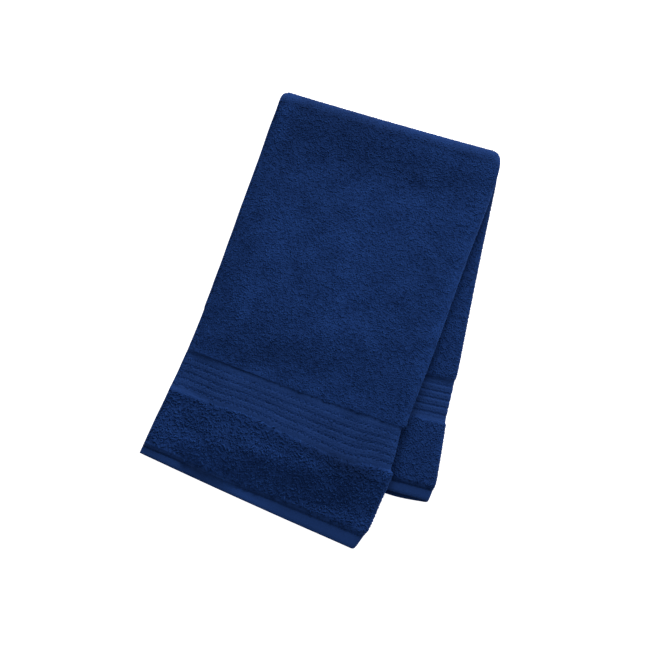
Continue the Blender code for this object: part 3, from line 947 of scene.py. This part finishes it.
class Recipe:
    """A material with its node tree, whose nodes all come from one method."""

    def __init__(self, name):
        self.material = bpy.data.materials.new(name)
        self.material.use_nodes = True
        self.tree = self.material.node_tree
        self.shader = self.tree.nodes["Principled BSDF"]

    def node(self, kind, settings, sockets, output=0):
        """Adds a node: its settings are set first, then its sockets are filled, and one output is given back."""
        node = self.tree.nodes.new(kind)
        for key, setting in settings.items():
            setattr(node, key, setting)
        for key, given in sockets.items():
            plug(node.inputs[key], given)
        return Value(node.outputs[output])

    def ramp(self, value, low, high):
        """0 below low, 1 above high, and smooth between."""
        sockets = {"Value": value, "From Min": low, "From Max": high}
        return self.node("ShaderNodeMapRange", {"interpolation_type": "SMOOTHSTEP"}, sockets)

    def zone(self, value, rise, fall):
        """1 between two limits, each given as the two ends of its ramp, and 0 outside."""
        return self.ramp(value, *rise) * (1 - self.ramp(value, *fall))

    def mix(self, factor, first, second):
        """A colour between two others."""
        return self.node("ShaderNodeMix", {"data_type": "RGBA"}, {0: factor, 6: first, 7: second}, 2)

    def scaled(self, colour, factor):
        """A colour made lighter or darker."""
        return self.node("ShaderNodeVectorMath", {"operation": "SCALE"}, {0: colour, "Scale": factor})

    def attribute(self, name, output="Fac"):
        """A value that the mesh keeps for each point."""
        return self.node("ShaderNodeAttribute", {"attribute_name": name}, {}, output)

    def noise(self, scale, detail=2.0, roughness=0.5):
        """Cloudy noise in the towel's own space; scale is in cycles per metre."""
        place = self.node("ShaderNodeTexCoord", {}, {}, "Object")
        sockets = {"Vector": place, "Scale": scale, "Detail": detail, "Roughness": roughness}
        return self.node("ShaderNodeTexNoise", {}, sockets)

    def bump(self, height, distance, strength=1.0, normal=None):
        """A Bump node that reads a height from 0 to 1, over a normal of its own where one is given."""
        sockets = {"Height": height, "Distance": distance, "Strength": strength}
        if normal is not None:
            sockets["Normal"] = normal
        return self.node("ShaderNodeBump", {}, sockets)

    def finish(self, **sockets):
        """Fills the shader's sockets, whose names have spaces where the keywords have underscores."""
        for key, given in sockets.items():
            plug(self.shader.inputs[key.replace("_", " ")], given)
        return self.material


# %% [markdown]
# ## The finishes
#
# All of the towel is one dyed cotton, a deep navy, but each weave takes the light in its own way. The looped
# yarn is dull and soft, with a slight bloom where light grazes it. The border is a closer weave and looks a
# little lighter and smoother.

# %% Yarn of the loops
NAVY = (0.0097, 0.0355, 0.143, 1.0)
NAVY_DEEP = (0.0066, 0.0242, 0.104, 1.0)
# the pale end of the loops' tone, which also gives the tallest loops their painted highlight
NAVY_PALE_AND_HIGHLIGHT = (0.0128, 0.0466, 0.184, 1.0)
NAVY_WOVEN = (0.0096, 0.0334, 0.131, 1.0)
NAVY_HEM = (0.0090, 0.0315, 0.125, 1.0)
BLOOM = (0.04, 0.13, 0.45, 1.0)
DULL = {"Specular_IOR_Level": 0.06, "Sheen_Weight": 0.3, "Sheen_Roughness": 0.5, "Sheen_Tint": BLOOM}
FUZZ = 0.75  # share of the cloth's own direction in how a loop takes the light, since its fuzz scatters it


def terry_yarn():
    """Navy yarn whose tone changes from loop to loop and, more slowly, over the cloth. The tallest loops also carry
    a painted highlight, and the colour is scaled by the painted light and shade of the patches.
    """
    recipe = Recipe("terry_yarn")
    tone_and_highlight = recipe.attribute("tone_and_highlight")
    cloudy = recipe.ramp(recipe.noise(90.0, 3.0), 0.3, 0.7)
    lie = recipe.attribute("lie", "Vector")
    own = recipe.node("ShaderNodeNewGeometry", {}, {}, "Normal")
    soft = recipe.node("ShaderNodeMix", {"data_type": "VECTOR"}, {0: FUZZ, 4: own, 5: lie}, 1)
    soft = recipe.node("ShaderNodeVectorMath", {"operation": "NORMALIZE"}, {0: soft})
    fibres = recipe.noise(4200.0, 1.0)
    colour = recipe.mix(tone_and_highlight * 0.75 + cloudy * 0.25, NAVY_DEEP, NAVY_PALE_AND_HIGHLIGHT)
    # the colour is scaled by the painted light and shade of the patches
    colour = recipe.scaled(colour, recipe.attribute("painted_light_and_shade"))
    return recipe.finish(Base_Color=colour, Roughness=0.92, Normal=recipe.bump(fibres, 0.0002, 0.3, soft), **DULL)


# %% The ground weave, the border and the hems
WEFT_PITCH, WARP_PITCH, DASH_PITCH = 0.62, 0.84, 4.4


def towel_weave():
    """One material for the whole sheet, in zones by the distance from the nearer end and from the long side. The
    border's grooves and dashes are painted darker as painted shade, and the colour is scaled by the painted light
    and shade of the patches.
    """
    recipe = Recipe("towel_weave")
    across, run = recipe.attribute("cloth_across"), recipe.attribute("cloth_run")
    q = run.least(CLOTH_LENGTH - run)
    side = across.least(CLOTH_WIDTH - across)
    hem = 1 - recipe.ramp(q, HEM - 0.6, HEM + 0.2)
    side_hem = 1 - recipe.ramp(side, SIDE_HEM - 0.4, SIDE_HEM + 0.4)
    border = recipe.zone(q, (BORDER_START - 0.3, BORDER_START + 0.3), (BORDER_END - 0.3, BORDER_END + 0.3))
    woven = 1 - (1 - hem) * (1 - side_hem) * (1 - border)

    # grooves: bells round evenly spaced lines, which only paint the grooves a little darker, as painted shade
    phase = (q - FIRST_GROOVE) * (math.pi / RIB_PITCH)
    grooved = recipe.zone(q, (FIRST_GROOVE - 2, FIRST_GROOVE - 1), (BORDER_END - 7, BORDER_END - 6))
    groove = (1 - phase.sine().absolute()) ** 6 * grooved
    # dashes: a cosine along each row times one across the rows, so that every second row is shifted by half.
    # They sink in the bump and are painted darker, as painted shade of those dips
    stray = recipe.noise(190.0, 2.0)
    row = ((q + stray * 1.2 - FIRST_GROOVE) * (2 * math.pi / RIB_PITCH)).cosine()
    spot = ((across + stray * 4.0) * (2 * math.pi / DASH_PITCH)).cosine()
    ribbed = recipe.zone(q, (FIRST_GROOVE - 5, FIRST_GROOVE - 2), (BORDER_END - 7, BORDER_END - 4))
    dashes = (row * spot).most(0.0) * row.absolute() ** 3 * ribbed * recipe.ramp(recipe.noise(240.0, 2.0), 0.3, 0.6)

    weft = (run * (2 * math.pi / WEFT_PITCH)).sine() * 0.5 + 0.5
    warp = (across * (2 * math.pi / WARP_PITCH)).sine() * 0.5 + 0.5
    crepe = recipe.noise(300.0, 3.0, 0.7)
    weave = weft * 0.1 + warp * 0.06 + crepe * (1.7 - hem * 1.4) - dashes * 0.9 + 0.5

    crumb = recipe.noise(480.0, 2.0, 0.55)
    cloudy = recipe.ramp(recipe.noise(110.0, 3.0), 0.3, 0.7)
    pile_colour = recipe.mix(crumb, NAVY_DEEP, NAVY)
    # random tone from the crepe, plus painted shade in the grooves and on the dashes
    tone_and_painted_shade = recipe.ramp(crepe, 0.35, 0.65) * 0.4 + groove * 0.15 + dashes * 0.9
    woven_colour = recipe.mix(hem * 0.8, recipe.mix(tone_and_painted_shade, NAVY_WOVEN, NAVY_DEEP), NAVY_HEM)
    colour = recipe.mix(woven, pile_colour, woven_colour)
    colour = recipe.mix(cloudy * 0.15, colour, NAVY_DEEP)
    # the colour is scaled by the painted light and shade of the patches
    colour = recipe.scaled(colour, recipe.attribute("painted_light_and_shade"))
    height = weave * woven * 0.6 + crumb * (1 - woven)
    normal = recipe.bump(height, 0.0009, 0.8)
    return recipe.finish(Base_Color=colour, Roughness=0.9 - woven * 0.1, Normal=normal, **DULL)


yarn_finish, weave_finish = terry_yarn(), towel_weave()
towel_cloth.data.materials.append(weave_finish)
for piece in pile_pieces:
    piece.data.materials.append(yarn_finish)
print("finishes:", yarn_finish.name, weave_finish.name)

# %% [markdown]
# ## The sewing
#
# The hems are held by a line of lock stitches near their inner edge. A stitch is a short grain of thread that
# dips into the cloth at both ends, so the arch of the loops serves again, long and low.

# %% Stitches of the hems
STITCH_PITCH = 2.9
STITCH_IN = 3.0
SIDE_STITCH_IN = 4.3
STITCH = {"width": 1.15, "height": 0.22, "radius": 0.2}


def yarn_line(name, spots, turned, width, height, radius, lift=0.0, uneven=0.0, tone_and_highlight=0.6):
    """A short yarn at each spot, lying along the cloth or, when turned, across it."""
    count = len(spots[0])
    one = np.ones(count)
    arches = yarn_arches(
        count,
        width=width + chance.normal(0, uneven, count),
        height=height * one,
        radius=radius * (one + chance.normal(0, uneven, count)),
        turn=(np.pi / 2 if turned else 0.0) + chance.normal(0, 0.05 + uneven, count),
        lean=(0 * one, 0 * one),
        twist=0 * one,
    )
    looks = {"tone_and_highlight": tone_and_highlight * chance.uniform(0.5, 1.5, count), "painted_light_and_shade": one}
    piece = joined_arches(name, spots, arches, looks, lift)
    piece.data.materials.append(yarn_finish)
    return piece


s = np.arange(2.0, CLOTH_WIDTH + 13.0, STITCH_PITCH)
end_across, end_around = ring_place(s)
run_line = np.arange(2.0, CLOTH_LENGTH - 2.0, STITCH_PITCH)
side_line = np.full_like(run_line, 1 - SIDE_STITCH_IN / STRIP_WIDTH)
under = run_line[run_line > turned]
front_hem_line = np.full_like(s, HEM - STITCH_IN)
stitching = [
    yarn_line("front_hem_stitches", (end_across, end_around, front_hem_line), True, **STITCH),
    yarn_line("back_hem_stitches", (end_across, end_around, CLOTH_LENGTH - front_hem_line), True, **STITCH),
    yarn_line("inner_side_stitches", (side_line, np.full_like(run_line, np.pi), run_line), False, **STITCH),
    yarn_line("under_side_stitches", (side_line[: len(under)], 0 * under, under), False, **STITCH),
]

# %% [markdown]
# ## Floats over the grooves
#
# In each groove of the border the crossing yarns float free from rib to rib, close together. Here and there one
# dips into the weave and leaves a small dark dot, so that from above each groove is a row of dots.

# %% The floats of both borders
FLOAT_PITCH = 1.15
GAP_DEPTH, FLOAT_SINK, BACK_SINK = 0.35, 0.6, 0.28
FLOAT = {"width": 1.5, "height": 0.1, "uneven": 0.05}


def groove_spots(s_low, s_high, from_start):
    """A spot at each float and 1 where it dips, which it does once in every three to seven places at random."""
    s = np.arange(s_low, s_high, FLOAT_PITCH)
    turns = np.cumsum(chance.integers(3, 8, (GROOVES, len(s))), axis=1)
    dips = np.array([np.isin(np.arange(len(s)), row) for row in turns]).ravel()
    s_grid = (s[None, :] + chance.normal(0, 0.08, (GROOVES, len(s)))).ravel()
    q = np.repeat(FIRST_GROOVE + np.arange(GROOVES) * RIB_PITCH, len(s)) + chance.normal(0, 0.3, len(s_grid))
    across, around = ring_place(s_grid)
    return (across, around, q if from_start else CLOTH_LENGTH - q), dips


front_spots, front_dips = groove_spots(0.8, round_fold + 4, True)
back_spots, _ = groove_spots(STRIP_WIDTH, round_fold + 60, False)
float_lift = (RIB_THICK - GROOVE_THICK) / 2 - FLOAT_SINK
front_lift, back_lift = float_lift - GAP_DEPTH * front_dips, float_lift - BACK_SINK
floats = [
    yarn_line("front_border_floats", front_spots, False, radius=0.6, lift=front_lift, tone_and_highlight=0.3, **FLOAT),
    yarn_line("back_border_floats", back_spots, False, radius=0.5, lift=back_lift, tone_and_highlight=0.25, **FLOAT),
]
stitching += floats

# %% [markdown]
# ## The floor, the light and the camera
#
# The towel lies on a pale floor and is seen from straight above. The camera is turned about its axis so that the
# top fold runs down to the right. A large soft light stands beyond the top fold, a little to the right, and
# pale surroundings fill the shadows.

# %% Floor and surroundings
FLOOR_Z = -0.0004
SKY_STRENGTH = 0.26
floor_x = np.array([-4.0, 4.0, 4.0, -4.0])
floor_mesh = mesh_of("floor", np.stack([floor_x, np.roll(floor_x, 1), np.full(4, FLOOR_Z)], axis=-1), [[0, 1, 2, 3]])
floor = place(floor_mesh)
pale = {"Base_Color": (0.7, 0.7, 0.7, 1.0), "Emission_Color": (1.0, 1.0, 1.0, 1.0), "Emission_Strength": 1.0}
floor_mesh.materials.append(Recipe("pale_floor").finish(Roughness=0.9, **pale))

world = bpy.context.scene.world or bpy.data.worlds.new("surroundings")
bpy.context.scene.world = world
world.use_nodes = True
sky = world.node_tree.nodes["Background"].inputs
sky["Color"].default_value, sky["Strength"].default_value = (1.0, 1.0, 1.0, 1.0), SKY_STRENGTH

# %% Camera and key light
PICTURE_TURN = math.radians(15.8)
picture_right = Vector((math.cos(PICTURE_TURN), math.sin(PICTURE_TURN), 0.0))
picture_up = Vector((-math.sin(PICTURE_TURN), math.cos(PICTURE_TURN), 0.0))
AIM = Vector((-0.00325, -0.003, 0.010))
CAMERA_HEIGHT = 2.6
PICTURE_WIDTH = 0.65
SENSOR = 36.0
KEY_FROM, KEY_HEIGHT, KEY_AWAY = math.radians(24.0), 0.9, 1.65
KEY_SIZE, KEY_ENERGY = (2.0, 1.1), 60.0


def aimed(thing, eye, target, up):
    """Puts a camera or a light at eye. Its minus Z looks at the target, and its top is as near as can be to up."""
    back = (eye - target).normalized()
    right = up.cross(back).normalized()
    rotation = Matrix([right, back.cross(right), back]).transposed()
    thing.matrix_world = Matrix.Translation(eye) @ rotation.to_4x4()
    bpy.context.scene.collection.objects.link(thing)


camera_data = bpy.data.cameras.new("camera")
camera_data.sensor_width = SENSOR
camera_data.lens = SENSOR * CAMERA_HEIGHT / PICTURE_WIDTH
camera_data.clip_end = 50.0
camera = bpy.data.objects.new("camera", camera_data)
aimed(camera, AIM + Vector((0, 0, CAMERA_HEIGHT)), AIM, picture_up)
bpy.context.scene.camera = camera

key_data = bpy.data.lights.new("key", "AREA")
key_data.shape, key_data.energy = "RECTANGLE", KEY_ENERGY
key_data.size, key_data.size_y = KEY_SIZE
key = bpy.data.objects.new("key", key_data)
key_side = picture_up * math.cos(KEY_FROM) + picture_right * math.sin(KEY_FROM)
aimed(key, AIM + key_side * KEY_AWAY + Vector((0, 0, KEY_HEIGHT)), AIM, Vector((0, 0, 1)))

view = bpy.context.scene.view_settings
view.view_transform, view.look, view.exposure, view.gamma = "Standard", "None", 0.0, 1.0
print(f"camera at {CAMERA_HEIGHT} m, lens {camera_data.lens:.0f} mm")

# %% [markdown]
# ## The pieces and the body
#
# Each piece rides with the towel's one body, and the cloth takes the place of the plain solid.

# %% Ride and replace
for piece in [towel_cloth, *pile_pieces, *stitching]:
    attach(piece, "root")
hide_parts("towel")
